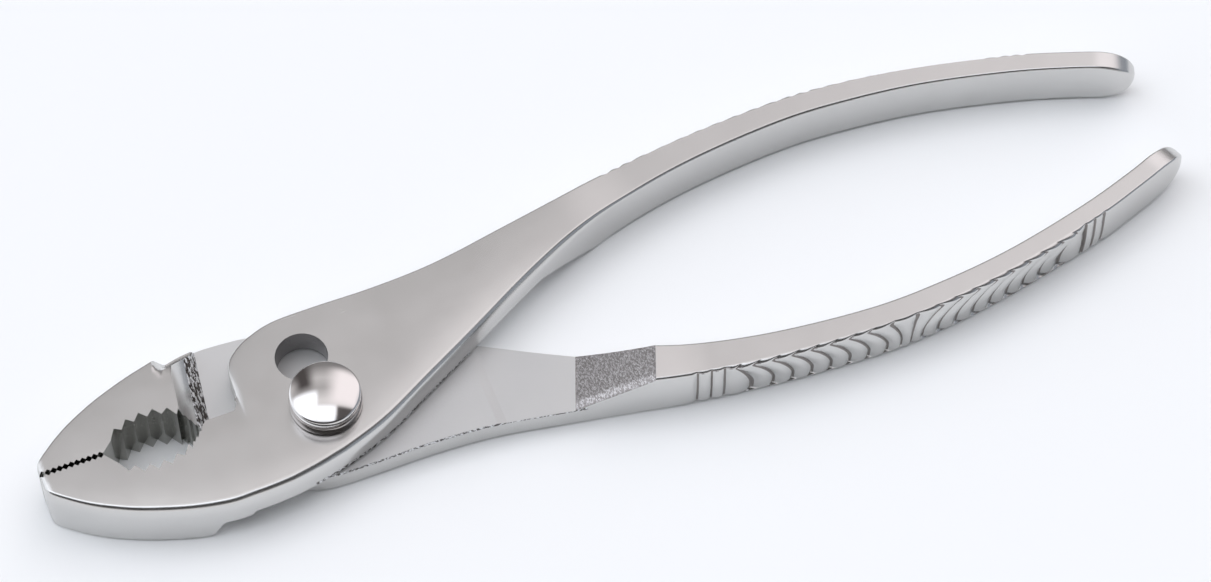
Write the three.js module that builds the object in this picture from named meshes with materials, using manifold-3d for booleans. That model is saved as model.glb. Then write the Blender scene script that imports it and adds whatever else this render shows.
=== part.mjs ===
// Slip-joint pliers: two forged halves that cross at a lap joint and turn on one bolt.
// Millimetres, +Z up, lying flat. The origin is the bolt's axis on the resting plane,
// the jaws point to -X, the handles to +X, and the bolt's domed head is on top.

import * as THREE from 'three';
import { mergeVertices } from 'three/addons/utils/BufferGeometryUtils.js';
import Module from 'manifold-3d';

const wasm = await Module();
wasm.setup();

// Overall
const JOINT_THICKNESS = 11; // jaws and joint, through both laps
const HANDLE_DEPTH = 10; // handles are a little thinner than the joint
const CENTRE_Y = 4.15; // centre line of the closed pliers, seen from the bolt
const NOSE_X = -49.2;
const HANDLE_END_X = 156.9;
const RUNNING_GAP = 0.3; // between faces that slide on each other
const CURVE_STEPS = 72; // segments along each long side of a half
const END_STEPS = 8; // segments round a handle's end
const BLANK_WIDTH = 80; // wider than the whole tool
const CUT_PAST = 1; // cutters run this far past the faces they cut
const WELD = 0.5; // parts of one solid reach this far into each other
const MERGE_DISTANCE = 1e-4;

// Jaws
const FINE_PITCH = 1.02;
const FINE_DEPTH = 0.42;
const FINE_TEETH = 11;
const BITE_GAP = 0.15; // half the gap between the closed jaws
const BITE_SHIFT = 0.7; // the bite line lies above the centre line, towards the pin half
const JAW_SWELL = 0.5; // so the slotted half's jaw is this much fuller and the other less full
const GRIP_CENTRE_X = -29.5; // pipe grip, an arc in each jaw
const GRIP_START_X = -36.1; // first coarse tooth
const GRIP_RADIUS = 11;
const GRIP_DEPTH = 5.4;
const COARSE_PITCH = 2.4;
const COARSE_DEPTH = 1.25;
const COARSE_TEETH = 5;

// Shoulder where the jaw's full thickness drops to the lap
const SHOULDER_X = -22.9;
const SHOULDER_FOOT_X = -19.8;
const SHOULDER_FOOT_HEIGHT = 2.1; // above the joint plane
const SHOULDER_SCOOP = new THREE.Vector2(-22.2, -3.1); // bend of the concave fillet, in X and Z
const LAP_START_X = -18.2;

// Lap and the ramp to the handle
const PAD_END_X = 26.8; // milled pad round the bolt
const PAD_STEP_LENGTH = 1.6;
const PAD_STEP = 0.4;
const RAMP_START_X = 42;
const RAMP_END_X = 56.5;
const TOP_EASE_LENGTH = 14; // where the top drops from joint to handle
const HANDLE_END_ROUND = 2.4;

// Pivot
const HOLE_RADIUS = 4.55;
const SLOT_SHIFT = new THREE.Vector2(-0.9, 10); // from the working hole to the wide hole
const SLOT_NECK = 6.4;
const SHANK_RADIUS = 4.25;
const SHANK_FLATS = 5.8;
const HEAD_RADIUS = 6.1;
const HEAD_EDGE = 1.6;
const HEAD_DOME = 1.4;
const HEAD_CHAMFER = 0.3;
const HEAD_RINGS = 8;
const WASHER_THICKNESS = 2;
const WASHER_GAP = 0.15;
const TAIL_RADIUS = 3;
const NUT_ACROSS_FLATS = 10;
const NUT_HEIGHT = 3;
const NUT_POCKET_RADIUS = 6.3;
const NUT_POCKET_DEPTH = 3.3;
const ROUND_SEGMENTS = 40;

const HALF_THICKNESS = JOINT_THICKNESS / 2;
const HALF_DEPTH = HANDLE_DEPTH / 2;
const LAP_FACE = RUNNING_GAP / 2; // a lap's inner face above the joint plane

// ---- solids -------------------------------------------------------------

function toSolid(geometry) {
  const bare = geometry.clone();
  bare.deleteAttribute('normal');
  bare.deleteAttribute('uv');
  const merged = mergeVertices(bare, MERGE_DISTANCE);
  return new wasm.Manifold(new wasm.Mesh({
    numProp: 3,
    vertProperties: new Float32Array(merged.attributes.position.array),
    triVerts: new Uint32Array(merged.index.array),
  }));
}

function toGeometry(solid) {
  const mesh = solid.getMesh();
  const geometry = new THREE.BufferGeometry();
  geometry.setAttribute('position', new THREE.BufferAttribute(mesh.vertProperties, 3));
  geometry.setIndex(new THREE.BufferAttribute(mesh.triVerts, 1));
  geometry.computeVertexNormals();
  return geometry;
}

// A plan outline in X and Y, raised from bottom to top.
function upright(shape, bottom, top) {
  const geometry = new THREE.ExtrudeGeometry(shape, {
    depth: top - bottom,
    bevelEnabled: false,
    curveSegments: ROUND_SEGMENTS,
  });
  geometry.translate(0, 0, bottom);
  return toSolid(geometry);
}

// A side outline in X and Z, spread equally to both sides of the centre line.
function sideways(shape, width) {
  const geometry = new THREE.ExtrudeGeometry(shape, { depth: width, bevelEnabled: false });
  geometry.rotateX(Math.PI / 2);
  geometry.translate(0, width / 2, 0);
  return toSolid(geometry);
}

function disc(x, y, radius, bottom, top) {
  const shape = new THREE.Shape();
  shape.absarc(x, y, radius, 0, 2 * Math.PI, false);
  return upright(shape, bottom, top);
}

function points(...pairs) {
  return pairs.map(([x, y]) => new THREE.Vector2(x, y));
}

// ---- outline of one half --------------------------------------------------
// Both halves are the same forging. It is drawn round its own centre line: the jaw is
// on the -Y side, the handle on the +Y side, and Z is measured from the joint plane.

function fineTeeth(biteY) {
  const line = [];
  for (let tooth = 0; tooth < FINE_TEETH; tooth += 1) {
    const x = NOSE_X + tooth * FINE_PITCH;
    line.push(new THREE.Vector2(x, biteY));
    line.push(new THREE.Vector2(x + FINE_PITCH / 2, biteY - FINE_DEPTH));
  }
  line.push(new THREE.Vector2(NOSE_X + FINE_TEETH * FINE_PITCH, biteY));
  return line;
}

function gripDepth(x) {
  const across = x - GRIP_CENTRE_X;
  return Math.sqrt(GRIP_RADIUS ** 2 - across ** 2) - GRIP_RADIUS + GRIP_DEPTH;
}

function coarseTeeth() {
  const line = [];
  for (let tooth = 0; tooth < COARSE_TEETH; tooth += 1) {
    const tip = GRIP_START_X + tooth * COARSE_PITCH;
    const root = tip + COARSE_PITCH / 2;
    line.push(new THREE.Vector2(tip, COARSE_DEPTH - gripDepth(tip)));
    line.push(new THREE.Vector2(root, -gripDepth(root)));
  }
  return line;
}

// From the pipe grip, round the front of the lap, to the back of the joint.
function lapFront(biteY) {
  return points(
    [-23.6, -3.4], [-22.4, -2.6], [-21.3, -1.2], [-20, biteY], [-14.9, biteY], [-13.9, 1.3],
    [-13.4, 8.3], [-12.6, 9.9], [-11.3, 11.2], [-9.6, 12.4], [-8.2, 13.1],
  );
}

function backOfHandle() {
  const curve = new THREE.SplineCurve(points(
    [-6.9, 13.7], [-3.4, 14.5], [2, 14.7], [15, 14.7], [26, 15.4], [39, 17.6], [50, 19.7],
    [60, 21.8], [75, 23.9], [93, 24.9], [107, 24.3], [121, 22.1], [136.6, 18.4], [152.6, 12.9],
  ));
  return curve.getSpacedPoints(CURVE_STEPS);
}

function handleEnd() {
  const curve = new THREE.SplineCurve(points(
    [155, 11.9], [HANDLE_END_X - 0.4, 10.8], [HANDLE_END_X, 9.3], [155.2, 8.2],
  ));
  return curve.getPoints(END_STEPS);
}

function bellyAndJaw(swell) {
  const curve = new THREE.SplineCurve(points(
    [153.4, 8.4], [144, 12], [129, 16.1], [116, 18.6], [104, 19.8], [93, 20], [82, 19.2],
    [66, 16.4], [57, 14], [46, 9.1], [35, 3.3], [18, -6], [8, -11.3], [2, -13.5], [-3.6, -15],
    [-9, -16], [-16.5, -16.4], [-25.5, -15 - swell], [-35, -11.9 - swell], [-42, -8.6 - swell],
    [-47.8, -4.3 - swell],
  ));
  return curve.getSpacedPoints(CURVE_STEPS);
}

function planOutline(biteShift, swell) {
  const biteY = biteShift - BITE_GAP;
  const nose = points([NOSE_X + 0.4, -3.4 - swell], [NOSE_X, -2.4 - swell]);
  return new THREE.Shape([
    ...fineTeeth(biteY), ...coarseTeeth(), ...lapFront(biteY), ...backOfHandle(), ...handleEnd(),
    ...bellyAndJaw(swell), ...nose,
  ]);
}

// Height of the forging along X: a full-thickness jaw, a lap above the joint plane, and a
// ramp down to a full-depth handle.
function sideOutline() {
  const shape = new THREE.Shape();
  shape.moveTo(NOSE_X - CUT_PAST, -HALF_THICKNESS);
  shape.lineTo(SHOULDER_X, -HALF_THICKNESS);
  shape.quadraticCurveTo(SHOULDER_SCOOP.x, SHOULDER_SCOOP.y, SHOULDER_FOOT_X, -SHOULDER_FOOT_HEIGHT);
  shape.lineTo(LAP_START_X, LAP_FACE);
  shape.lineTo(PAD_END_X, LAP_FACE);
  shape.lineTo(PAD_END_X + PAD_STEP_LENGTH, LAP_FACE + PAD_STEP);
  shape.lineTo(RAMP_START_X, LAP_FACE + PAD_STEP);
  shape.lineTo(RAMP_END_X, -HALF_DEPTH);
  shape.lineTo(HANDLE_END_X - HANDLE_END_ROUND, -HALF_DEPTH);
  shape.absarc(
    HANDLE_END_X - HANDLE_END_ROUND, HANDLE_END_ROUND - HALF_DEPTH, HANDLE_END_ROUND,
    -Math.PI / 2, 0, false,
  );
  shape.absarc(
    HANDLE_END_X - HANDLE_END_ROUND, HALF_DEPTH - HANDLE_END_ROUND, HANDLE_END_ROUND,
    0, Math.PI / 2, false,
  );
  shape.lineTo(RAMP_END_X + TOP_EASE_LENGTH / 2, HALF_DEPTH);
  shape.lineTo(RAMP_END_X - TOP_EASE_LENGTH / 2, HALF_THICKNESS);
  shape.lineTo(NOSE_X - CUT_PAST, HALF_THICKNESS);
  return shape;
}

function forging(biteShift, swell) {
  const plan = upright(planOutline(biteShift, swell), -HALF_THICKNESS, HALF_THICKNESS);
  return plan.intersect(sideways(sideOutline(), BLANK_WIDTH));
}

// ---- the two halves ---------------------------------------------------------

function slotCutter() {
  const neck = new THREE.Shape();
  const across = new THREE.Vector2(-SLOT_SHIFT.y, SLOT_SHIFT.x).setLength(SLOT_NECK / 2);
  neck.moveTo(across.x, across.y);
  neck.lineTo(-across.x, -across.y);
  neck.lineTo(SLOT_SHIFT.x - across.x, SLOT_SHIFT.y - across.y);
  neck.lineTo(SLOT_SHIFT.x + across.x, SLOT_SHIFT.y + across.y);
  const top = JOINT_THICKNESS + CUT_PAST;
  return upright(neck, 0, top)
    .add(disc(0, 0, HOLE_RADIUS, 0, top))
    .add(disc(SLOT_SHIFT.x, SLOT_SHIFT.y, HOLE_RADIUS, 0, top));
}

function slottedHalf() {
  const placed = forging(BITE_SHIFT, JAW_SWELL).translate([0, CENTRE_Y, HALF_THICKNESS]);
  return toGeometry(placed.subtract(slotCutter()));
}

function pinHalf() {
  const turned = forging(-BITE_SHIFT, -JAW_SWELL).rotate([180, 0, 0]);
  const placed = turned.translate([0, CENTRE_Y, HALF_THICKNESS]);
  const hole = disc(0, 0, HOLE_RADIUS, -CUT_PAST, JOINT_THICKNESS);
  const pocket = disc(0, 0, NUT_POCKET_RADIUS, -CUT_PAST, NUT_POCKET_DEPTH);
  return toGeometry(placed.subtract(hole).subtract(pocket));
}

// ---- bolt, washer and nut ---------------------------------------------------

const WASHER_BOTTOM = JOINT_THICKNESS + WASHER_GAP;
const HEAD_BOTTOM = WASHER_BOTTOM + WASHER_THICKNESS + WASHER_GAP;

function domedHead() {
  const crease = HEAD_BOTTOM + HEAD_EDGE;
  const sphereRadius = (HEAD_RADIUS ** 2 + HEAD_DOME ** 2) / (2 * HEAD_DOME);
  const sweep = Math.asin(HEAD_RADIUS / sphereRadius);
  const profile = points(
    [0, HEAD_BOTTOM], [HEAD_RADIUS - HEAD_CHAMFER, HEAD_BOTTOM],
    [HEAD_RADIUS, HEAD_BOTTOM + HEAD_CHAMFER],
  );
  for (let ring = 0; ring <= HEAD_RINGS; ring += 1) {
    const angle = sweep * (1 - ring / HEAD_RINGS);
    const height = crease + HEAD_DOME - sphereRadius * (1 - Math.cos(angle));
    profile.push(new THREE.Vector2(sphereRadius * Math.sin(angle), height));
  }
  profile[profile.length - 1].x = 0;
  const geometry = new THREE.LatheGeometry(profile, ROUND_SEGMENTS);
  geometry.rotateX(Math.PI / 2);
  return toSolid(geometry);
}

// The shank has two flats that lie along the slot, so it passes the slot's neck.
function boltShank() {
  const bottom = NUT_POCKET_DEPTH;
  const top = HEAD_BOTTOM + WELD;
  const round = disc(0, 0, SHANK_RADIUS, bottom, top);
  const flats = new THREE.Shape();
  const along = SLOT_SHIFT.clone().setLength(SHANK_RADIUS + CUT_PAST);
  const across = new THREE.Vector2(-SLOT_SHIFT.y, SLOT_SHIFT.x).setLength(SHANK_FLATS / 2);
  flats.moveTo(-along.x + across.x, -along.y + across.y);
  flats.lineTo(-along.x - across.x, -along.y - across.y);
  flats.lineTo(along.x - across.x, along.y - across.y);
  flats.lineTo(along.x + across.x, along.y + across.y);
  return round.intersect(upright(flats, bottom, top));
}

function pivotBolt() {
  const tail = disc(0, 0, TAIL_RADIUS, 0, NUT_POCKET_DEPTH + WELD);
  return toGeometry(domedHead().add(boltShank()).add(tail));
}

function thrustWasher() {
  const ring = disc(0, 0, HEAD_RADIUS + 0.1, WASHER_BOTTOM, WASHER_BOTTOM + WASHER_THICKNESS);
  const bore = disc(0, 0, SHANK_RADIUS + RUNNING_GAP, JOINT_THICKNESS, HEAD_BOTTOM);
  return toGeometry(ring.subtract(bore));
}

function pivotNut() {
  const hexagon = new THREE.Shape();
  const corner = NUT_ACROSS_FLATS / Math.sqrt(3);
  for (let side = 0; side < 6; side += 1) {
    const angle = (side * Math.PI) / 3;
    hexagon.lineTo(corner * Math.cos(angle), corner * Math.sin(angle));
  }
  const thread = disc(0, 0, TAIL_RADIUS + RUNNING_GAP, -CUT_PAST, NUT_HEIGHT + CUT_PAST);
  return toGeometry(upright(hexagon, 0, NUT_HEIGHT).subtract(thread));
}

// ---- assembly ---------------------------------------------------------------

const SATIN_CHROME = new THREE.MeshStandardMaterial({ color: 0xc4c3c1, roughness: 0.34, metalness: 1 });
const POLISHED_CHROME = new THREE.MeshStandardMaterial({ color: 0xd4d1ce, roughness: 0.08, metalness: 1 });
const PLATED_STEEL = new THREE.MeshStandardMaterial({ color: 0xa9a8a6, roughness: 0.3, metalness: 1 });

function piece(name, geometry, material) {
  const mesh = new THREE.Mesh(geometry, material);
  mesh.name = name;
  return mesh;
}

const pliers = new THREE.Group();
pliers.add(piece('pin_half', pinHalf(), SATIN_CHROME));
pliers.add(piece('slotted_half', slottedHalf(), SATIN_CHROME));
pliers.add(piece('pivot_bolt', pivotBolt(), POLISHED_CHROME));
pliers.add(piece('thrust_washer', thrustWasher(), PLATED_STEEL));
pliers.add(piece('pivot_nut', pivotNut(), PLATED_STEEL));

export default pliers;
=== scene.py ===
from math import asin, ceil, cos, pi, radians, sin, sqrt

import bpy
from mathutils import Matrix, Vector


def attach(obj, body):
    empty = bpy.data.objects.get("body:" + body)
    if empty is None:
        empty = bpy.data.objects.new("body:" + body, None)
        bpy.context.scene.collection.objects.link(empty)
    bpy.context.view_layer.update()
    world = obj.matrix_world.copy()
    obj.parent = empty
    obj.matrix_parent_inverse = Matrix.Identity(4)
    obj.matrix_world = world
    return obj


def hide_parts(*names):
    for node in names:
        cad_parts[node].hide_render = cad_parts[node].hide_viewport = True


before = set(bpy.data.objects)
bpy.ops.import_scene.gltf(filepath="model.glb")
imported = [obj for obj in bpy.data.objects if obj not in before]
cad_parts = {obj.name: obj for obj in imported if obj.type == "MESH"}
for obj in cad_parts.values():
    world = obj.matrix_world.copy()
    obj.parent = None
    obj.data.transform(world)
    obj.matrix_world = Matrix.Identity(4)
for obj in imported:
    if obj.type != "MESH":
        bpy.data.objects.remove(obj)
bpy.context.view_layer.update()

# ---- The pin half -----------------------------------------------------------
# One lever of the tool: jaw, flat joint and bowed handle in one drop forging of tool steel,
# ground, milled, drilled for the bolt and plated. Its mate is cut from the same forging, so
# the forging, its machining and its plating are written here for both.

MM = 0.001                # sizes are in millimetres until a piece is put in its place

# The forging lies with the jaw on -X and the handle on +X, the bite on Y 0, and its middle
# plane on Z 0. Its back is on the +Y side and its belly on the -Y side.
JOINT_HALF = 5.5          # half the thickness of jaws and joint
HANDLE_HALF = 5.0         # half the depth of a handle
THIN_START, THIN_END = 49.5, 63.5     # where the thickness runs down from one to the other
NOSE_X, HANDLE_END_X = -49.2, 156.9
NOSE_ROUNDING = 0.7
BITE_STOCK = 1.9          # forged metal beyond the bite line, machined off later
END_LENGTH, END_DROP = 6.6, 4.2       # the handle's end is rounded in depth

# Points across the forging from each other: on its back edge, and on its belly edge.
OUTLINE = [
    ((-49.2, BITE_STOCK), (-49.2, -2.3)), ((-48.9, BITE_STOCK), (-48.85, -3.3)),
    ((-47.8, BITE_STOCK), (-47.8, -4.4)), ((-45, BITE_STOCK), (-45, -6.65)),
    ((-42, BITE_STOCK), (-42, -8.65)), ((-38.5, BITE_STOCK), (-38.5, -10.5)),
    ((-35, BITE_STOCK), (-35, -12.05)), ((-30.5, BITE_STOCK), (-30.2, -13.75)),
    ((-26, BITE_STOCK), (-25.5, -15.05)),
    ((-19, BITE_STOCK), (-20.5, -16.15)), ((-15.4, 2), (-16.5, -16.4)),
    ((-13.75, 3.1), (-13.6, -16.35)), ((-13.55, 5.4), (-11.2, -16.2)),
    ((-13.3, 8.3), (-9, -16)), ((-12.5, 10.05), (-6.6, -15.6)),
    ((-10.7, 11.7), (-4.2, -15.13)), ((-8.2, 13.1), (-1.4, -14.45)),
    ((-3.4, 14.5), (2, -13.5)), ((4, 14.75), (9, -10.85)), ((15, 14.7), (18, -6)),
    ((26, 15.4), (27.5, -0.85)), ((39, 17.6), (39.5, 5.8)), ((50, 19.7), (51, 11.55)),
    ((60, 21.8), (61, 15.2)), ((75, 23.9), (75.5, 18.3)), ((93, 24.9), (93, 20)),
    ((107, 24.3), (106.5, 19.6)), ((121, 22.1), (120, 18.0)), ((136.6, 18.4), (135, 14.65)),
    ((147, 15.0), (145.5, 11.45)), ((152.6, 12.9), (151, 9.35)), ((155, 11.8), (153.6, 8.4)),
    ((156.4, 10.8), (155.3, 8.15)), ((HANDLE_END_X, 9.9), (156.5, 8.75)),
]
JAW_POINTS = 10           # the first points belong to the jaw, which may be fuller or slimmer

# The ground faces fall away towards their edges, by this much over this width.
JAW_CROWN, HANDLE_CROWN, CROWN_WIDTH = 0.26, 0.03, 5.4

# The long edges are rounded: how far in across the face, how far down the wall, and how much
# the wall bulges. Each pair is for the jaw and joint, and for the handle.
BACK, BELLY = 1, -1
TOP, BOTTOM = True, False
HANDLE_SHAPE_START, HANDLE_SHAPE_END = 38, 62
EDGE_REACH = {
    (BACK, TOP): (0.45, 0.45), (BACK, BOTTOM): (0.6, 0.6),
    (BELLY, TOP): (1.25, 0.55), (BELLY, BOTTOM): (0.45, 0.45),
}
EDGE_DROP = {
    (BACK, TOP): (0.5, 0.5), (BACK, BOTTOM): (0.7, 0.7),
    (BELLY, TOP): (2.4, 0.6), (BELLY, BOTTOM): (0.5, 0.5),
}
WALL_BULGE = {BACK: (0.06, 0.3), BELLY: (0.08, 0.08)}
FULL_ROUNDING_SIZE = 1.2      # a section thinner than its rounding needs gets a smaller one

# Behind the jaw the belly's lower edge is scooped up.
SCOOP_RISE = 4.8
SCOOP_START, SCOOP_FULL, SCOOP_FADE, SCOOP_END = -26, -21.4, -12, -8
SCOOP_INNER, SCOOP_OUTER = 3.6, 0.3   # from the belly edge

# The rope knurl: straight grooves at both ends and leaning ridges between.
FRONT_GROOVES, REAR_GROOVES = (60.6, 63.0), (136.2, 138.2)
ROPE_START, ROPE_END, ROPE_RIDGES = 65.2, 134.3, 20
ROPE_TURN_X, ROPE_TURN_LENGTH = 99.0, 13.0    # where the lean changes sides
ROPE_LEAN, ROPE_LEAN_START = 3.9, 5.0
KNURL_DEPTH = 0.17        # of a ridge's width
GROOVE_EDGE = 1.1
RIDGE_STEPS = 12
CREST_LEAN, CREST_FULLNESS = 1.15, 0.9        # powers that set a ridge's lopsided, blunt crest
VALLEY_SHADE_FRONT, VALLEY_SHADE_REAR = 0.1, 0.26   # half the width of the painted shade line along a valley's bottom
VALLEYS = [*FRONT_GROOVES]
for ridge in range(ROPE_RIDGES + 1):
    VALLEYS.append(ROPE_START + ridge * (ROPE_END - ROPE_START) / ROPE_RIDGES)
VALLEYS += REAR_GROOVES

# How closely the sections stand: on plain metal, beside the knurl, and at the handle's end,
# where each step is split. Then the points along each stretch of a section.
PLAIN_STEP = 0.7
LEAD_STEP, LEAD_STEPS = 0.2, 6
FINE_END_X, FINE_END_SPLIT = 148, 3
WALL_STEPS, CORNER_STEPS, FACE_STEPS = 24, 6, 12

# Where the knurled back starts and ends in a section's ring of points.
BACK_START = (WALL_STEPS + 1) + (FACE_STEPS + 1) + 2 * (CORNER_STEPS - 1)
BACK_END = BACK_START + WALL_STEPS + 3


def smooth(value, start, end):
    """0 before start, 1 after end, and an even S between."""
    t = min(max((value - start) / (end - start), 0), 1)
    return t * t * (3 - 2 * t)


def along(points, place):
    """A smooth curve through the points. Whole numbers of place are the points themselves."""
    span = min(int(place), len(points) - 2)
    t = place - span
    before = points[max(span - 1, 0)]
    first, second = points[span], points[span + 1]
    after = points[min(span + 2, len(points) - 1)]
    pull_first = (second - before) / 2
    pull_second = (after - first) / 2
    return (
        first + pull_first * t
        + (3 * (second - first) - 2 * pull_first - pull_second) * t * t
        + (2 * (first - second) + pull_first + pull_second) * t * t * t
    )


def knurl_depth(x):
    """How far the back is pressed in below its crests, at x along the handle."""
    outer = KNURL_DEPTH * (FRONT_GROOVES[1] - FRONT_GROOVES[0])
    if x <= VALLEYS[0]:
        return outer * (1 - smooth(VALLEYS[0] - x, 0, GROOVE_EDGE))
    if x >= VALLEYS[-1]:
        return outer * (1 - smooth(x - VALLEYS[-1], 0, GROOVE_EDGE))
    for start, end in zip(VALLEYS, VALLEYS[1:]):
        if x <= end:
            crest = max(sin(pi * ((x - start) / (end - start)) ** CREST_LEAN), 0)
            return KNURL_DEPTH * (end - start) * (1 - crest ** CREST_FULLNESS)
    return 0.0


def rope_lean(x):
    """How far a ridge that starts at x drifts along the handle on its way down the back."""
    turn = 1 - 2 * smooth(x, ROPE_TURN_X - ROPE_TURN_LENGTH / 2, ROPE_TURN_X + ROPE_TURN_LENGTH / 2)
    front = smooth(x, ROPE_START, ROPE_START + ROPE_LEAN_START)
    rear = 1 - smooth(x, ROPE_END - ROPE_LEAN_START, ROPE_END)
    return ROPE_LEAN * turn * front * rear


def half_height(x):
    """How far the forging's top and bottom lie from its middle plane at x."""
    height = JOINT_HALF + (HANDLE_HALF - JOINT_HALF) * smooth(x, THIN_START, THIN_END)
    nose = max(0, NOSE_X + NOSE_ROUNDING - x) / NOSE_ROUNDING
    nose_drop = NOSE_ROUNDING * (1 - sqrt(max(0, 1 - nose * nose)))
    tip = max(0, x - (HANDLE_END_X - END_LENGTH)) / END_LENGTH
    tip_drop = END_DROP * (1 - sqrt(max(0, 1 - tip * tip)))
    return height - nose_drop - tip_drop


def section(back, belly):
    """The ring of points round the forging between a back point and the belly point across."""
    middle, half = (back + belly) / 2, (back - belly).length / 2
    across = (back - belly).normalized()
    x = back.x
    level = half_height(x)
    on_handle = smooth(x, HANDLE_SHAPE_START, HANDLE_SHAPE_END)
    room = min(1, half * 0.5 / FULL_ROUNDING_SIZE, level * 0.6 / FULL_ROUNDING_SIZE)

    def at_x(pair):
        return (pair[0] + (pair[1] - pair[0]) * on_handle) * room

    reach = {edge: at_x(pair) for edge, pair in EDGE_REACH.items()}
    drop = {edge: at_x(pair) for edge, pair in EDGE_DROP.items()}
    bulge = {side: at_x(pair) for side, pair in WALL_BULGE.items()}
    knurl, lean = knurl_depth(x), rope_lean(x)
    scoop = smooth(x, SCOOP_START, SCOOP_FULL) * (1 - smooth(x, SCOOP_FADE, SCOOP_END))
    reach_in = max(half - max(reach.values()) - 0.4, 0.1)
    crown = JAW_CROWN + (HANDLE_CROWN - JAW_CROWN) * on_handle
    crown *= min(1, reach_in / CROWN_WIDTH) ** 2
    edge_level = level - crown
    ring = []

    def place(out, height, pressed=0.0, shift=0.0):
        point = middle + across * (out - knurl * pressed)
        if scoop and height < 0:
            risen = SCOOP_RISE * scoop * smooth(-out, half - SCOOP_INNER, half - SCOOP_OUTER)
            height = max(height, risen - level)
        ring.append(Vector((point.x + shift, point.y, height)))

    def wall(side, going_up):
        low, high = drop[side, BOTTOM] - edge_level, edge_level - drop[side, TOP]
        for step in range(WALL_STEPS + 1):
            f = (2 * step / WALL_STEPS - 1) * (1 if going_up else -1)
            height = (low + high) / 2 + f * (high - low) / 2
            out = side * (half - bulge[side] * f * f)
            if side == BELLY:
                place(out, height)
                continue
            deep = min((1 + f) / 2 * 1.3, 1)
            pressed = 0.5 + 0.5 * smooth(deep, 0, 0.3)
            place(out, height, pressed, lean * (sin(deep * pi / 2) - 0.5))

    def round_corner(side, upper, outward):
        sign = 1 if upper else -1
        centre_out = half - bulge[side] - reach[side, upper]
        centre_height = sign * (edge_level - drop[side, upper])
        for step in range(1, CORNER_STEPS):
            angle = step / CORNER_STEPS * pi / 2
            angle = angle if outward else pi / 2 - angle
            out = side * (centre_out + reach[side, upper] * sin(angle))
            height = centre_height + sign * drop[side, upper] * cos(angle)
            if side == BELLY:
                place(out, height)
            else:
                fade = sin(angle)
                place(out, height, fade if upper else 0.5 * fade, 0.5 * sign * lean * fade)

    def face(upper):
        sign = 1 if upper else -1
        for step in range(FACE_STEPS + 1):
            f = -sign * sin((1 - 2 * step / FACE_STEPS) * pi / 2)
            side = BACK if f > 0 else BELLY
            width = half - bulge[side] - reach[side, upper]
            from_edge = width - abs(f * width)
            fall = crown * max(0, 1 - from_edge / min(CROWN_WIDTH, reach_in)) ** 2
            place(f * width, sign * (level - fall))

    wall(BELLY, True)
    round_corner(BELLY, TOP, False)
    face(TOP)
    round_corner(BACK, TOP, True)
    wall(BACK, False)
    round_corner(BACK, BOTTOM, False)
    face(BOTTOM)
    round_corner(BELLY, BOTTOM, True)
    return ring


def stations(backs):
    """Places along the outline, close together on the knurl and wider apart elsewhere."""
    def place_at(x):
        low, high = 0.0, len(backs) - 1.0
        for _ in range(40):
            mid = (low + high) / 2
            if along(backs, mid).x < x:
                low = mid
            else:
                high = mid
        return low

    knurl_x = [VALLEYS[0] + LEAD_STEP * (step - LEAD_STEPS) for step in range(LEAD_STEPS)]
    for start, end in zip(VALLEYS, VALLEYS[1:]):
        knurl_x += [start + (end - start) * step / RIDGE_STEPS for step in range(RIDGE_STEPS)]
    knurl_x += [VALLEYS[-1] + LEAD_STEP * step for step in range(LEAD_STEPS + 1)]
    knurl = [place_at(x) for x in knurl_x]
    places = []
    for span in range(len(backs) - 1):
        length = max((backs[span + 1] - backs[span]).length, 0.8)
        steps = ceil(length / PLAIN_STEP)
        if backs[span].x > FINE_END_X:
            steps *= FINE_END_SPLIT
        places += [span + step / steps for step in range(steps)]
    places.append(len(backs) - 1.0)
    plain = [p for p in places if p < knurl[0] - 0.01 or p > knurl[-1] + 0.01]
    return sorted(plain + knurl)


# The plating is nickel and chrome over a belt-ground and tumbled surface.
SCRATCH_DULLING = 0.12
ROLL_ACROSS = (0.2, 1, 0)             # the way across the ramp, in the tool's frame
ROLL_FROM, ROLL_TO, ROLL_RISE = -5.8, -3.4, 2.8


def group_node(group, kind, **inputs):
    """A node of this kind with some of its sockets set."""
    node = group.nodes.new(kind)
    for name, value in inputs.items():
        node.inputs[name.replace("_", " ")].default_value = value
    return node


def node_group(name, inputs, outputs):
    """An empty node group with sockets for numbers, and its two end nodes."""
    group = bpy.data.node_groups.new(name, "ShaderNodeTree")
    for socket, value in inputs.items():
        item = group.interface.new_socket(socket, in_out="INPUT", socket_type="NodeSocketFloat")
        item.default_value = value
    for socket in outputs:
        group.interface.new_socket(socket, in_out="OUTPUT", socket_type="NodeSocketFloat")
    return group, group.nodes.new("NodeGroupInput"), group.nodes.new("NodeGroupOutput")


# Grain: the fine tooth of the ground steel under the plate, drawn out along one axis.
grain, grain_in, grain_out = node_group(
    "grain", {"Scale": 2500, "Stretch X": 1, "Stretch Y": 1}, ["Height", "Cloud"]
)
coordinates = grain.nodes.new("ShaderNodeTexCoord")
stretch = grain.nodes.new("ShaderNodeCombineXYZ")
stretch.inputs["Z"].default_value = 1
grain.links.new(grain_in.outputs["Stretch X"], stretch.inputs["X"])
grain.links.new(grain_in.outputs["Stretch Y"], stretch.inputs["Y"])
stretched = grain.nodes.new("ShaderNodeVectorMath")
stretched.operation = "MULTIPLY"
grain.links.new(coordinates.outputs["Object"], stretched.inputs[0])
grain.links.new(stretch.outputs["Vector"], stretched.inputs[1])
fine = group_node(grain, "ShaderNodeTexNoise", Detail=4, Roughness=0.62)
grain.links.new(stretched.outputs["Vector"], fine.inputs["Vector"])
grain.links.new(grain_in.outputs["Scale"], fine.inputs["Scale"])
grain.links.new(fine.outputs["Fac"], grain_out.inputs["Height"])
cloud = group_node(grain, "ShaderNodeTexNoise", Scale=90, Detail=3, Roughness=0.55)
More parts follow.
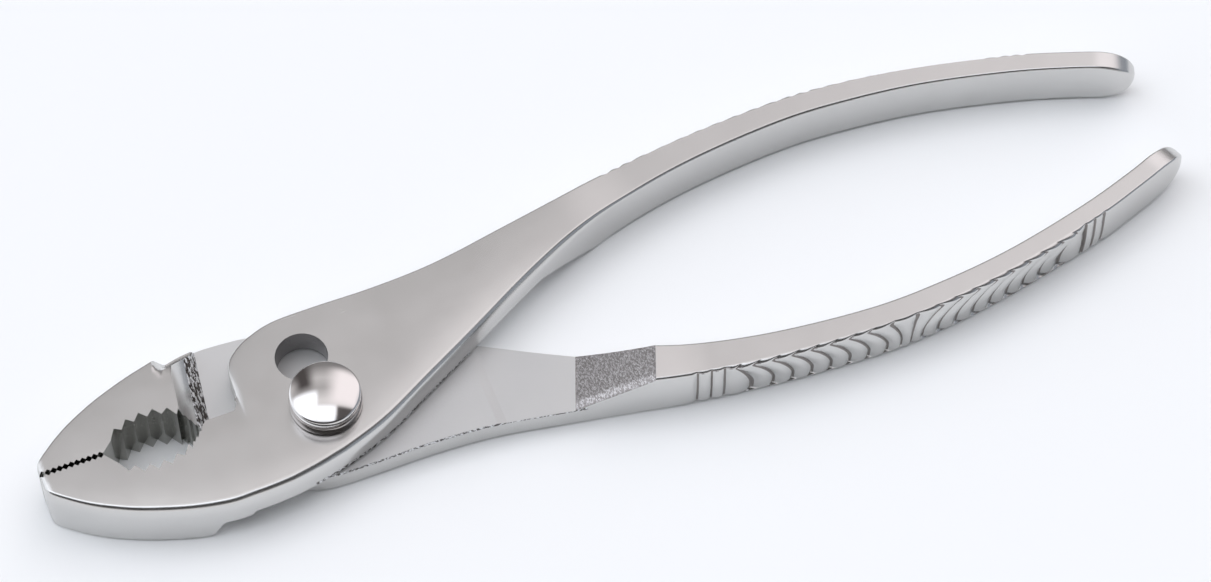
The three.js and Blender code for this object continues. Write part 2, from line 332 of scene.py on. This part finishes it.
grain.links.new(coordinates.outputs["Object"], cloud.inputs["Vector"])
grain.links.new(cloud.outputs["Fac"], grain_out.inputs["Cloud"])

# Handling: hairline scratches, running two ways, where the tool has rubbed in a drawer.
handling, handling_in, handling_out = node_group("handling", {"Amount": 0.5}, ["Scratches"])
handling_coordinates = handling.nodes.new("ShaderNodeTexCoord")
hairs = []
for angle in (0.35, -0.9):
    drawn_out = handling.nodes.new("ShaderNodeMapping")
    drawn_out.inputs["Rotation"].default_value = (0, 0, angle)
    drawn_out.inputs["Scale"].default_value = (140, 6500, 1500)
    handling.links.new(handling_coordinates.outputs["Object"], drawn_out.inputs["Vector"])
    hair = group_node(handling, "ShaderNodeTexNoise", Scale=1, Detail=2)
    handling.links.new(drawn_out.outputs["Vector"], hair.inputs["Vector"])
    thin = group_node(handling, "ShaderNodeMapRange", From_Min=0.66, From_Max=0.74)
    handling.links.new(hair.outputs["Fac"], thin.inputs["Value"])
    hairs.append(thin)
both = handling.nodes.new("ShaderNodeMath")
both.operation = "MAXIMUM"
handling.links.new(hairs[0].outputs["Result"], both.inputs[0])
handling.links.new(hairs[1].outputs["Result"], both.inputs[1])
scaled = handling.nodes.new("ShaderNodeMath")
scaled.operation = "MULTIPLY"
handling.links.new(both.outputs["Value"], scaled.inputs[0])
handling.links.new(handling_in.outputs["Amount"], scaled.inputs[1])
handling.links.new(scaled.outputs["Value"], handling_out.inputs["Scratches"])


def plated(name, colour, dark, roughness, grain_scale, grain_height, stretch_xy=(1, 1), scratches=0.3,
           speckle=0.0, speckle_colour=(0.2, 0.17, 0.15), rolled=False):
    """A plated finish: grain for the bump, clouds for colour and gloss, scratches that dull it.
    A speckle breaks it with dark spots, and a rolled face turns over towards its edge."""
    material = bpy.data.materials.new(name)
    material.use_nodes = True
    tree = material.node_tree
    shader = tree.nodes["Principled BSDF"]
    shader.inputs["Metallic"].default_value = 1
    grains = tree.nodes.new("ShaderNodeGroup")
    grains.node_tree = grain
    grains.inputs["Scale"].default_value = grain_scale
    grains.inputs["Stretch X"].default_value = stretch_xy[0]
    grains.inputs["Stretch Y"].default_value = stretch_xy[1]
    marks = tree.nodes.new("ShaderNodeGroup")
    marks.node_tree = handling
    marks.inputs["Amount"].default_value = scratches
    tint = tree.nodes.new("ShaderNodeMix")
    tint.data_type = "RGBA"
    tint.inputs[6].default_value = (*dark, 1)
    tint.inputs[7].default_value = (*colour, 1)
    tree.links.new(grains.outputs["Cloud"], tint.inputs["Factor"])
    base = tint.outputs[2]
    if speckle:
        spots = group_node(tree, "ShaderNodeMapRange", From_Min=0.62 - speckle, From_Max=0.66 - speckle)
        tree.links.new(grains.outputs["Height"], spots.inputs["Value"])
        spotted = tree.nodes.new("ShaderNodeMix")
        spotted.data_type = "RGBA"
        spotted.inputs[6].default_value = (*speckle_colour, 1)
        tree.links.new(spots.outputs["Result"], spotted.inputs["Factor"])
        tree.links.new(base, spotted.inputs[7])
        base = spotted.outputs[2]
    tree.links.new(base, shader.inputs["Base Color"])
    gloss = group_node(tree, "ShaderNodeMapRange", To_Min=roughness * 0.8, To_Max=roughness * 1.2)
    tree.links.new(grains.outputs["Cloud"], gloss.inputs["Value"])
    dulled = tree.nodes.new("ShaderNodeMath")
    dulled.operation = "MULTIPLY_ADD"
    dulled.inputs[1].default_value = SCRATCH_DULLING
    tree.links.new(marks.outputs["Scratches"], dulled.inputs[0])
    tree.links.new(gloss.outputs["Result"], dulled.inputs[2])
    tree.links.new(dulled.outputs["Value"], shader.inputs["Roughness"])
    bump = tree.nodes.new("ShaderNodeBump")
    bump.inputs["Strength"].default_value = 1
    bump.inputs["Distance"].default_value = grain_height * MM
    height = grains.outputs["Height"]
    if rolled:
        place = tree.nodes.new("ShaderNodeTexCoord")
        across = tree.nodes.new("ShaderNodeVectorMath")
        across.operation = "DOT_PRODUCT"
        across.inputs[1].default_value = ROLL_ACROSS
        tree.links.new(place.outputs["Object"], across.inputs[0])
        roll = group_node(
            tree, "ShaderNodeMapRange", From_Min=ROLL_FROM * MM, From_Max=ROLL_TO * MM, To_Max=ROLL_RISE
        )
        roll.interpolation_type = "SMOOTHERSTEP"
        tree.links.new(across.outputs["Value"], roll.inputs["Value"])
        raised = tree.nodes.new("ShaderNodeMath")
        tree.links.new(roll.outputs["Result"], raised.inputs[0])
        tree.links.new(height, raised.inputs[1])
        height = raised.outputs["Value"]
    tree.links.new(height, bump.inputs["Height"])
    tree.links.new(bump.outputs["Normal"], shader.inputs["Normal"])
    return material


CHROME, CHROME_DARK = (0.67, 0.665, 0.655), (0.6, 0.595, 0.585)
SATIN, LAP, ROUGH, SHEARED_GLINTS, TEETH_SHADE, VALLEY_SHADE, BORED = range(7)
FORGING_FINISHES = {
    SATIN: plated(
        "satin_chrome_face", CHROME, CHROME_DARK, roughness=0.24,
        grain_scale=3000, grain_height=0.0025, scratches=0.15,
    ),
    LAP: plated(
        "milled_lap", (0.74, 0.74, 0.735), (0.66, 0.66, 0.65), roughness=0.62,
        grain_scale=2300, grain_height=0.03, scratches=0.1,
    ),
    ROUGH: plated(
        "forged_ramp", (0.56, 0.55, 0.55), (0.38, 0.36, 0.36), roughness=0.26,
        grain_scale=3600, grain_height=0.1, stretch_xy=(1.3, 0.5), scratches=0,
        speckle=0.13, speckle_colour=(0.27, 0.255, 0.25), rolled=True,
    ),
    # Partly painted light: the sheared band's rough grain is real, but its extra-bright plate is a painted
    # glint and its near-black specks are painted dark reflections.
    SHEARED_GLINTS: plated(
        "sheared_shoulder_painted_glints", (0.9, 0.91, 0.93), (0.7, 0.7, 0.7), roughness=0.16,
        grain_scale=1900, grain_height=0.2, stretch_xy=(1, 0.5), scratches=0,
        speckle=0.13, speckle_colour=(0.06, 0.05, 0.045),
    ),
    # Painted shade: the teeth get a darker plate for the shade in the bite and the pipe grip, between the
    # jaws.
    TEETH_SHADE: plated(
        "broached_teeth_painted_shade", (0.42, 0.42, 0.395), (0.33, 0.33, 0.31), roughness=0.26,
        grain_scale=1500, grain_height=0.02, stretch_xy=(2, 2),
    ),
    # Painted shade: a near-black plate laid on the knurl's valley bottoms, where shade falls.
    VALLEY_SHADE: plated(
        "knurl_valley_painted_shade", (0.28, 0.26, 0.25), (0.18, 0.165, 0.155), roughness=0.3,
        grain_scale=1500, grain_height=0.01, scratches=0,
    ),
    BORED: plated(
        "bored_hole", (0.34, 0.33, 0.33), (0.24, 0.235, 0.235), roughness=0.24,
        grain_scale=2000, grain_height=0.01,
    ),
}


def on_valley_shade(x):
    """Whether a section at x lies on the painted shade line at the bottom of one of the knurl's valleys."""
    line = VALLEY_SHADE_REAR if x > ROPE_TURN_X else VALLEY_SHADE_FRONT
    return any(abs(x - valley) < line for valley in VALLEYS)


def forging(name, swell):
    """A grid rolled round the forging: one way along its length, the other round its section."""
    backs = [Vector(back) for back, belly in OUTLINE]
    bellies = [Vector(belly) for back, belly in OUTLINE]
    for belly in bellies[:JAW_POINTS - 1]:
        belly.y -= swell
    bellies[JAW_POINTS - 1].y -= swell / 2
    places = stations(backs)
    rings = [section(along(backs, place), along(bellies, place)) for place in places]
    valley_shaded = [on_valley_shade(along(backs, place).x) for place in places]
    round_count = len(rings[0])
    bpy.ops.object.select_all(action="DESELECT")
    bpy.ops.mesh.primitive_grid_add(x_subdivisions=len(rings) - 1, y_subdivisions=round_count, size=2)
    half = bpy.context.object
    half.name = name
    half.data.materials.clear()
    for finish in FORGING_FINISHES.values():
        half.data.materials.append(finish)
    for polygon in half.data.polygons:
        ring = round((polygon.center.x + 1) / 2 * (len(rings) - 1) - 0.5)
        step = round((polygon.center.y + 1) / 2 * round_count - 0.5)
        # Faces on the knurled back beside a valley bottom get the dark plate of painted shade.
        if (valley_shaded[ring] or valley_shaded[ring + 1]) and BACK_START <= step < BACK_END:
            polygon.material_index = VALLEY_SHADE
    for vertex in half.data.vertices:
        ring = round((vertex.co.x + 1) / 2 * (len(rings) - 1))
        step = round((vertex.co.y + 1) / 2 * round_count) % round_count
        vertex.co = rings[ring][step]
    bpy.ops.object.mode_set(mode="EDIT")
    bpy.ops.mesh.select_all(action="SELECT")
    bpy.ops.mesh.remove_doubles(threshold=0.0001)
    bpy.ops.mesh.select_all(action="DESELECT")
    bpy.ops.mesh.select_non_manifold()
    bpy.ops.mesh.fill_holes(sides=0)
    bpy.ops.mesh.select_all(action="SELECT")
    bpy.ops.mesh.normals_make_consistent(inside=False)
    bpy.ops.object.mode_set(mode="OBJECT")
    return half


# The bite, the pipe grip and the lap are milled and broached, and the bolt's holes drilled.
CENTRE_Y = 4.15           # from the bolt's centre to the middle of the jaws
BITE_SHIFT = 0.4          # the bite line lies this far from their middle, into the pin half's jaw
BITE_GAP = 0.15           # from the bite line to each half's teeth
JAW_SWELL = 0.5           # the slotted half's jaw is fuller by this, and the pin half's slimmer
FINE_PITCH, FINE_DEPTH, FINE_TEETH = 1.02, 0.45, 11
GRIP_CENTRE_X, GRIP_START_X, GRIP_RADIUS, GRIP_DEPTH = -29.5, -36.1, 11, 5.7
COARSE_PITCH, COARSE_DEPTH, COARSE_TEETH = 2.4, 1.25, 6
LAST_TOOTH_WIDTH = 0.5
LAP_FACE = 0.15           # the lap lies just past the middle plane, a running gap from its mate's
PAD_STEP = 0.4            # behind the bolt the lap steps back from the pad
RAMP_LEAN, RAMP_PIVOT_Y = -0.38, 12           # the ramp and the shoulder run aslant
SHOULDER_LEAN, SHOULDER_PIVOT_Y = -0.135, -8
BOLT_HOLE_RADIUS, NUT_POCKET_RADIUS, NUT_POCKET_DEPTH = 4.55, 6.3, 3.3
PAST = 8                  # cutters run past the faces they cut
SMOOTH_ANGLE = 33         # degrees, past which an edge stays crisp


def active(piece):
    """Selects this piece alone."""
    bpy.ops.object.select_all(action="DESELECT")
    piece.select_set(True)
    bpy.context.view_layer.objects.active = piece


def prism(name, outline, low, high):
    """A flat outline of corners, pulled up from low to high."""
    bpy.ops.object.select_all(action="DESELECT")
    bpy.ops.mesh.primitive_circle_add(vertices=len(outline), fill_type="NGON")
    block = bpy.context.object
    block.name = name
    for corner, (x, y) in zip(block.data.vertices, outline):
        corner.co = (x, y, low)
    bpy.ops.object.mode_set(mode="EDIT")
    bpy.ops.mesh.select_all(action="SELECT")
    bpy.ops.mesh.extrude_region_move(TRANSFORM_OT_translate={"value": (0, 0, high - low)})
    bpy.ops.mesh.select_all(action="SELECT")
    bpy.ops.mesh.normals_make_consistent(inside=False)
    bpy.ops.object.mode_set(mode="OBJECT")
    return block


def cut(piece, cutter, operation="DIFFERENCE"):
    """Takes the cutter's shape out of the piece, and puts the cutter away."""
    active(piece)
    bpy.ops.object.modifier_add(type="BOOLEAN")
    modifier = piece.modifiers[-1]
    modifier.operation = operation
    modifier.solver = "EXACT"
    modifier.object = cutter
    bpy.ops.object.modifier_apply(modifier=modifier.name)
    bpy.data.objects.remove(cutter)


def bite_cutter(bite_shift):
    """Everything past the bite line: fine teeth, the pipe grip's coarse teeth, and the lap's corner."""
    bite = bite_shift - BITE_GAP
    outline = [(NOSE_X - 3, bite)]
    for tooth in range(FINE_TEETH):
        x = NOSE_X + tooth * FINE_PITCH
        outline.append((x, bite))
        outline.append((x + FINE_PITCH / 2, bite - FINE_DEPTH))
    outline.append((NOSE_X + FINE_TEETH * FINE_PITCH, bite))
    for tooth in range(COARSE_TEETH):
        tip = GRIP_START_X + tooth * COARSE_PITCH
        root = tip + COARSE_PITCH / 2
        if tooth == COARSE_TEETH - 1:
            root = tip + LAST_TOOTH_WIDTH
        for x, height in ((tip, COARSE_DEPTH), (root, 0)):
            depth = sqrt(GRIP_RADIUS ** 2 - (x - GRIP_CENTRE_X) ** 2) - GRIP_RADIUS + GRIP_DEPTH
            outline.append((x, height - depth))
    outline += [(-23.15, -2.8), (-22.85, -3.05), (-22.4, -2.2), (-22.1, -2.4), (-21.6, -1.4)]
    outline += [(-21.3, -1.5), (-20.8, -0.6), (-20, bite), (-14.9, bite)]
    outline += [(-13.95, 1.35), (-14.4, 3.3), (-17, 6), (NOSE_X - 3, 6)]
    return prism("bite_cutter", outline, -PAST, PAST)


def lap_mill():
    """The stock below the lap: shoulder fillet, lap face, pad step and the ramp to the handle."""
    edge, scoop, foot = Vector((-22.9, -5.5)), Vector((-21.9, -3.6)), Vector((-19.8, -2.0))
    outline = [(edge.x, -PAST)]
    for step in range(9):
        t = step / 8
        outline.append(tuple((1 - t) ** 2 * edge + 2 * t * (1 - t) * scoop + t * t * foot))
    outline += [(-18.2, LAP_FACE), (26.5, LAP_FACE), (28.3, LAP_FACE + PAD_STEP), (42, LAP_FACE + PAD_STEP)]
    outline += [(56.5, -HANDLE_HALF), (57.5, -PAST)]
    block = prism("lap_mill", outline, -40, 40)
    block.rotation_euler.x = pi / 2
    active(block)
    bpy.ops.object.transform_apply(rotation=True)
    for vertex in block.data.vertices:
        if vertex.co.x > 35:
            vertex.co.x += RAMP_LEAN * (vertex.co.y - RAMP_PIVOT_Y)
        elif vertex.co.x < -10:
            vertex.co.x += SHOULDER_LEAN * (vertex.co.y - SHOULDER_PIVOT_Y)
    return block


def drill(x, y, radius, low, high):
    """A round upright cutter."""
    bpy.ops.object.select_all(action="DESELECT")
    bpy.ops.mesh.primitive_cylinder_add(
        vertices=96, radius=radius, depth=high - low, location=(x, y, (low + high) / 2)
    )
    bit = bpy.context.object
    bpy.ops.object.transform_apply(location=True)
    return bit


def pick_finishes(half):
    """Gives each machined face its own finish, by its place and the way that it looks."""
    for polygon in half.data.polygons:
        if polygon.material_index != SATIN:
            continue
        centre, normal = polygon.center, polygon.normal
        upright = abs(normal.z) < 0.1
        milled = normal.z < -0.3 and 0.02 - HANDLE_HALF < centre.z < LAP_FACE + 0.5
        if upright and -8 < centre.x < 6 and -CENTRE_Y - 5 < centre.y < 11:
            polygon.material_index = BORED        # the bolt's holes and the nut's pocket
        elif milled and centre.x > 36 and normal.x < -0.2:
            polygon.material_index = ROUGH        # the ramp from the lap up to the handle
        elif milled and -18.3 < centre.x < 50 and centre.z > 0:
            polygon.material_index = LAP
        # The shoulder band and the joint's edges beside the lap get the painted glints and painted dark
        # reflection specks.
        elif -20.8 < centre.x < -17 and -2.2 < centre.z < LAP_FACE + 0.05 and normal.x > 0.3:
            polygon.material_index = SHEARED_GLINTS      # the shoulder where the lap meets the jaw
        elif -6 < centre.x < 27 and centre.z < 1.0 and normal.y < -0.6 and abs(normal.z) < 0.4:
            polygon.material_index = SHEARED_GLINTS      # the joint's belly edge beside the lap
        elif -10 < centre.x < 42 and LAP_FACE < centre.z < LAP_FACE + 0.7 and normal.y > 0.6:
            polygon.material_index = SHEARED_GLINTS      # the joint's back edge beside the lap
        # The teeth's walls in the bite and the pipe grip get the darker plate of painted shade.
        elif upright and NOSE_X + 0.05 < centre.x < -19.5 and centre.y > -6 and normal.y > 0.2:
            polygon.material_index = TEETH_SHADE


def finish_half(half, turned_over, body, node):
    """Puts the half in its place in the tool, in metres, with crisp machined edges."""
    pick_finishes(half)
    half.rotation_euler.x = pi if turned_over else 0
    half.location = (0, CENTRE_Y * MM, JOINT_HALF * MM)
    half.scale = (MM, MM, MM)
    active(half)
    bpy.ops.object.transform_apply(location=True, rotation=True, scale=True)
    bpy.ops.object.shade_smooth_by_angle(angle=radians(SMOOTH_ANGLE))
    bpy.ops.object.modifier_add(type="WEIGHTED_NORMAL")
    half.modifiers[-1].keep_sharp = True
    bpy.ops.object.modifier_apply(modifier=half.modifiers[-1].name)
    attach(half, body)
    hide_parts(node)


# This half's forging is turned over: its jaw is above the bite and its handle below. One round hole
# takes the bolt, and a pocket in its back takes the nut.
pin_half = forging("pin_half_forging", -JAW_SWELL)
cut(pin_half, bite_cutter(-BITE_SHIFT))
cut(pin_half, lap_mill())
cut(pin_half, drill(0, CENTRE_Y, BOLT_HOLE_RADIUS, -PAST, PAST))
cut(pin_half, drill(0, CENTRE_Y, NUT_POCKET_RADIUS, JOINT_HALF - NUT_POCKET_DEPTH, PAST))
finish_half(pin_half, True, "pin_side", "pin_half")

# ---- The slotted half -------------------------------------------------------
# The other lever, cut from the same forging, the right way up. Two holes joined by a neck
# make the slot in which the bolt shifts, to open the jaws wider.
SLOT_X, SLOT_Y, NECK_HALF = -0.9, 10.0, 3.2       # from the first hole to the second
slot_length = sqrt(SLOT_X ** 2 + SLOT_Y ** 2)
slot_across = (SLOT_Y / slot_length, -SLOT_X / slot_length)
side_x, side_y = slot_across[0] * NECK_HALF, slot_across[1] * NECK_HALF
neck = prism("neck", [
    (side_x, side_y - CENTRE_Y), (SLOT_X + side_x, SLOT_Y + side_y - CENTRE_Y),
    (SLOT_X - side_x, SLOT_Y - side_y - CENTRE_Y), (-side_x, -side_y - CENTRE_Y),
], -PAST, PAST)

slotted_half = forging("slotted_half_forging", JAW_SWELL)
cut(slotted_half, bite_cutter(BITE_SHIFT))
cut(slotted_half, lap_mill())
cut(slotted_half, drill(0, -CENTRE_Y, BOLT_HOLE_RADIUS, -PAST, PAST))
cut(slotted_half, drill(SLOT_X, SLOT_Y - CENTRE_Y, BOLT_HOLE_RADIUS, -PAST, PAST))
cut(slotted_half, neck)
finish_half(slotted_half, False, "slotted_side", "slotted_half")

# ---- The bolt ---------------------------------------------------------------
# The pivot: a steel bolt with a low polished dome, turned and then milled with two flats that
# pass the slot's neck. Its threaded tail goes through the pin half into the nut.
HEAD_RADIUS, HEAD_BOTTOM, DOME_START, DOME_TOP = 6.1, 13.3, 14.78, 16.3
SHANK_RADIUS, SHANK_FLAT, TAIL_RADIUS, TAIL_TOP = 4.25, 2.9, 3.0, 3.3
THREAD_PITCH, THREAD_DEPTH, THREAD_TURNS = 0.55, 0.28, 5
THREAD_START = 0.25
DOME_RINGS = 28
FLAT_DEPTH, FLAT_HALF = 4, 8          # of the cutter that mills a flat


def turned(name, profile, segments=128):
    """A piece turned in a lathe: a disc pulled up from ring to ring of the profile."""
    radius, height = profile[0]
    bpy.ops.object.select_all(action="DESELECT")
    bpy.ops.mesh.primitive_circle_add(
        vertices=segments, radius=radius, fill_type="NGON", location=(0, 0, height)
    )
    piece = bpy.context.object
    piece.name = name
    bpy.ops.object.transform_apply(location=True)
    bpy.ops.object.mode_set(mode="EDIT")
    bpy.ops.mesh.select_all(action="SELECT")
    for next_radius, next_height in profile[1:]:
        bpy.ops.mesh.extrude_region_move(
            TRANSFORM_OT_translate={"value": (0, 0, next_height - height)}
        )
        scale = next_radius / radius
        bpy.ops.transform.resize(value=(scale, scale, 1), center_override=(0, 0, next_height))
        radius, height = next_radius, next_height
    bpy.ops.mesh.select_all(action="SELECT")
    bpy.ops.mesh.normals_make_consistent(inside=False)
    bpy.ops.object.mode_set(mode="OBJECT")
    return piece


def finish_turned(piece, finish, node, smooth_angle=40):
    """Brings a piece of the pivot to metres, plates it and lets it ride with the bolt."""
    piece.scale = (MM, MM, MM)
    active(piece)
    bpy.ops.object.transform_apply(scale=True)
    bpy.ops.object.shade_smooth_by_angle(angle=radians(smooth_angle))
    piece.data.materials.clear()
    piece.data.materials.append(finish)
    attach(piece, "pivot")
    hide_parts(node)


dome_edge = HEAD_RADIUS - 0.16
dome_foot = DOME_START + 0.14
rise = DOME_TOP - dome_foot
dome_radius = (dome_edge ** 2 + rise ** 2) / (2 * rise)
sweep = asin(dome_edge / dome_radius)
root_radius = TAIL_RADIUS - THREAD_DEPTH
profile = [(TAIL_RADIUS - 0.6, 0.0), (TAIL_RADIUS - 0.3, THREAD_START)]
for turn in range(THREAD_TURNS):
    profile.append((TAIL_RADIUS, THREAD_START + (turn + 0.45) * THREAD_PITCH))
    profile.append((root_radius, THREAD_START + (turn + 1) * THREAD_PITCH))
profile += [(root_radius, TAIL_TOP), (SHANK_RADIUS - 0.2, TAIL_TOP)]
profile += [(SHANK_RADIUS, TAIL_TOP + 0.2), (SHANK_RADIUS, HEAD_BOTTOM)]
profile += [(HEAD_RADIUS - 0.35, HEAD_BOTTOM), (HEAD_RADIUS - 0.12, HEAD_BOTTOM + 0.06)]
profile += [(HEAD_RADIUS, HEAD_BOTTOM + 0.28), (HEAD_RADIUS, DOME_START - 0.12)]
profile += [(HEAD_RADIUS - 0.04, DOME_START + 0.02), (dome_edge, dome_foot)]
for ring in range(1, DOME_RINGS):
    angle = sweep * (1 - ring / DOME_RINGS)
    profile.append((dome_radius * sin(angle), DOME_TOP - dome_radius * (1 - cos(angle))))
bolt = turned("domed_bolt", profile)
ux, uy = slot_across
for side in (1, -1):
    near, far = side * SHANK_FLAT, side * (SHANK_FLAT + FLAT_DEPTH)
    corners = [(near, FLAT_HALF), (far, FLAT_HALF), (far, -FLAT_HALF), (near, -FLAT_HALF)]
    outline = [(ux * out + uy * down, uy * out - ux * down) for out, down in corners]
    cut(bolt, prism("flat", outline, TAIL_TOP - 0.01, HEAD_BOTTOM - 0.05))
polished_dome = plated(
    "polished_chrome_dome", (0.72, 0.7, 0.69), (0.68, 0.66, 0.65), roughness=0.09,
    grain_scale=3000, grain_height=0.0006, scratches=0.12,
)
finish_turned(bolt, polished_dome, "pivot_bolt")

# ---- The washer -------------------------------------------------------------
# A thick steel collar, turned and plated. It lies between the slotted half and the bolt's
# head, which holds it down.
WASHER_BOTTOM, WASHER_TOP, WASHER_RADIUS = 11.15, 13.15, 6.2
washer = turned("collar_washer", [
    (WASHER_RADIUS - 0.25, WASHER_BOTTOM), (WASHER_RADIUS, WASHER_BOTTOM + 0.22),
    (WASHER_RADIUS, WASHER_TOP - 0.25), (WASHER_RADIUS - 0.08, WASHER_TOP - 0.08),
    (WASHER_RADIUS - 0.25, WASHER_TOP),
])
cut(washer, drill(0, 0, BOLT_HOLE_RADIUS, WASHER_BOTTOM - 1, WASHER_TOP + 1))
plated_steel = plated(
    "plated_hardware", (0.46, 0.43, 0.415), (0.34, 0.315, 0.3), roughness=0.17,
    grain_scale=2600, grain_height=0.004,
)
finish_turned(washer, plated_steel, "thrust_washer")

# ---- The nut ----------------------------------------------------------------
# A thin hexagon nut of the same plated steel, its corners chamfered on both faces. It is
# screwed on the bolt's tail, in the pocket in the pin half's back.
NUT_ACROSS_FLATS, NUT_HEIGHT, NUT_HOLE_RADIUS = 10, 3.0, 3.3
NUT_CHAMFER_RADIUS, NUT_CHAMFER = 4.75, 0.62
nut_corner = NUT_ACROSS_FLATS / sqrt(3)
hexagon = [(nut_corner * cos(corner * pi / 3), nut_corner * sin(corner * pi / 3)) for corner in range(6)]
nut = prism("lock_nut", hexagon, 0, NUT_HEIGHT)
chamfers = turned("chamfers", [
    (NUT_CHAMFER_RADIUS, 0), (nut_corner + 0.1, NUT_CHAMFER),
    (nut_corner + 0.1, NUT_HEIGHT - NUT_CHAMFER), (NUT_CHAMFER_RADIUS, NUT_HEIGHT),
])
cut(nut, chamfers, "INTERSECT")
cut(nut, drill(0, 0, NUT_HOLE_RADIUS, -1, NUT_HEIGHT + 1))
finish_turned(nut, plated_steel, "pivot_nut", smooth_angle=25)

# ---- The studio -------------------------------------------------------------
# A sheet of pale paper for a floor, a bright room of soft boxes and dark flats for the chrome
# to mirror, one soft lamp above, and a long lens from in front.
HEADING = radians(21.37)      # the way that the camera looks, from +Y towards +X
bpy.ops.object.select_all(action="DESELECT")
bpy.ops.mesh.primitive_plane_add(size=8)
floor = bpy.context.object
floor.name = "floor"
paper = bpy.data.materials.new("floor_paper")
paper.use_nodes = True
shader = paper.node_tree.nodes["Principled BSDF"]
shader.inputs["Base Color"].default_value = (0.9, 0.915, 0.925, 1)
shader.inputs["Roughness"].default_value = 0.9
shader.inputs["Specular IOR Level"].default_value = 0.0
floor.data.materials.append(paper)

world = bpy.data.worlds.new("studio")
bpy.context.scene.world = world
world.use_nodes = True
sky = world.node_tree
background = sky.nodes["Background"]
direction = sky.nodes.new("ShaderNodeTexCoord")
turn = sky.nodes.new("ShaderNodeVectorRotate")
turn.rotation_type = "Z_AXIS"
turn.inputs["Angle"].default_value = HEADING
sky.links.new(direction.outputs["Generated"], turn.inputs["Vector"])
split = sky.nodes.new("ShaderNodeSeparateXYZ")
sky.links.new(turn.outputs[0], split.inputs[0])
pitch = sky.nodes.new("ShaderNodeMath")
pitch.operation = "ARCTAN2"
sky.links.new(split.outputs["Z"], pitch.inputs[0])
sky.links.new(split.outputs["Y"], pitch.inputs[1])
degrees_of = sky.nodes.new("ShaderNodeMath")
degrees_of.operation = "DEGREES"
sky.links.new(pitch.outputs[0], degrees_of.inputs[0])
pitch_angle, sideways = degrees_of.outputs[0], split.outputs["X"]


def rise_between(value, start, end):
    """0 at the start value, 1 at the end value, smooth between."""
    node = sky.nodes.new("ShaderNodeMapRange")
    node.interpolation_type = "SMOOTHSTEP"
    node.inputs["From Min"].default_value = start
    node.inputs["From Max"].default_value = end
    sky.links.new(value, node.inputs["Value"])
    return node.outputs["Result"]


def product(first, second):
    node = sky.nodes.new("ShaderNodeMath")
    node.operation = "MULTIPLY"
    sky.links.new(first, node.inputs[0])
    sky.links.new(second, node.inputs[1])
    return node.outputs[0]


def band(value, start, end, soft):
    """1 between start and end, fading to 0 over soft on both sides."""
    rising = rise_between(value, start - soft, start + soft)
    return product(rising, rise_between(value, end + soft, end - soft))


def lay(below, colour, mask):
    """A colour laid over the room wherever the mask is 1."""
    node = sky.nodes.new("ShaderNodeMix")
    node.data_type = "RGBA"
    sky.links.new(mask, node.inputs["Factor"])
    sky.links.new(below, node.inputs[6])
    node.inputs[7].default_value = (*colour, 1)
    return node.outputs[2]


ramp_in = sky.nodes.new("ShaderNodeMapRange")
ramp_in.inputs["From Min"].default_value = -180
ramp_in.inputs["From Max"].default_value = 180
sky.links.new(pitch_angle, ramp_in.inputs["Value"])
ramp = sky.nodes.new("ShaderNodeValToRGB")
# The room's brightness by pitch: 0 is the far horizon, 90 overhead, 180 the near horizon.
ROOM_LEVELS = [
    (-180, 1.0), (-10, 0.6), (0, 0.25), (18, 0.3), (42, 0.75), (60, 0.56), (80, 1.0), (100, 0.95),
    (109, 0.09), (165, 0.07), (173, 1.0), (180, 1.2),
]
elements = ramp.color_ramp.elements
while len(elements) < len(ROOM_LEVELS):
    elements.new(0.5)
for element, (angle, level) in zip(elements, ROOM_LEVELS):
    element.position = (angle + 180) / 360
    element.color = (level, level * 0.975, level * 0.985, 1)
sky.links.new(ramp_in.outputs[0], ramp.inputs[0])
colour = ramp.outputs[0]

# Soft boxes and dark flats: colour, then where each stands from side to side and in pitch.
WARM_BOX, COOL_BOX, SIDE_BOX = (1.3, 1.23, 1.26), (1.8, 1.86, 2.0), (1.3, 1.36, 1.45)
FAR_FLAT, TOP_FLAT, SIDE_WALL = (0.1, 0.09, 0.09), (0.12, 0.11, 0.11), (0.36, 0.39, 0.44)
colour = lay(colour, WARM_BOX, product(rise_between(sideways, -0.1, 0.28), band(pitch_angle, 25, 84, 9)))
for room_colour, left, right, side_soft, low, high, pitch_soft in (
    (FAR_FLAT, -0.62, -0.33, 0.11, 0, 58, 10),
    (COOL_BOX, -0.72, -0.23, 0.06, 66, 112, 7),
    (COOL_BOX, -0.24, 0.22, 0.06, 89, 112, 5),
    (TOP_FLAT, 0.26, 0.7, 0.04, 88, 112, 4),
):
    place = product(band(sideways, left, right, side_soft), band(pitch_angle, low, high, pitch_soft))
    colour = lay(colour, room_colour, place)
colour = lay(colour, SIDE_BOX, product(rise_between(sideways, -0.7, -0.8), band(pitch_angle, 0, 150, 8)))
colour = lay(colour, SIDE_WALL, rise_between(sideways, 0.6, 0.75))
seen = sky.nodes.new("ShaderNodeLightPath")
plain = sky.nodes.new("ShaderNodeMix")
plain.data_type = "RGBA"
sky.links.new(seen.outputs["Is Camera Ray"], plain.inputs["Factor"])
sky.links.new(colour, plain.inputs[6])
plain.inputs[7].default_value = (0.97, 0.975, 0.98, 1)      # past the floor's edge
sky.links.new(plain.outputs[2], background.inputs["Color"])

fill_data = bpy.data.lights.new("floor_fill", "AREA")
fill_data.size = 2.4
fill_data.energy = 13
fill = bpy.data.objects.new("floor_fill", fill_data)
fill.location = (0.05, 0, 1.6)
fill.visible_glossy = False
bpy.context.scene.collection.objects.link(fill)

camera_data = bpy.data.cameras.new("camera")
camera_data.lens = 129.46
camera = bpy.data.objects.new("camera", camera_data)
bpy.context.scene.collection.objects.link(camera)
camera.location = (-0.08395, -0.34384, 0.65645)
camera.rotation_euler = (radians(30), 0, -HEADING)
bpy.context.scene.camera = camera
bpy.context.scene.view_settings.view_transform = "Standard"
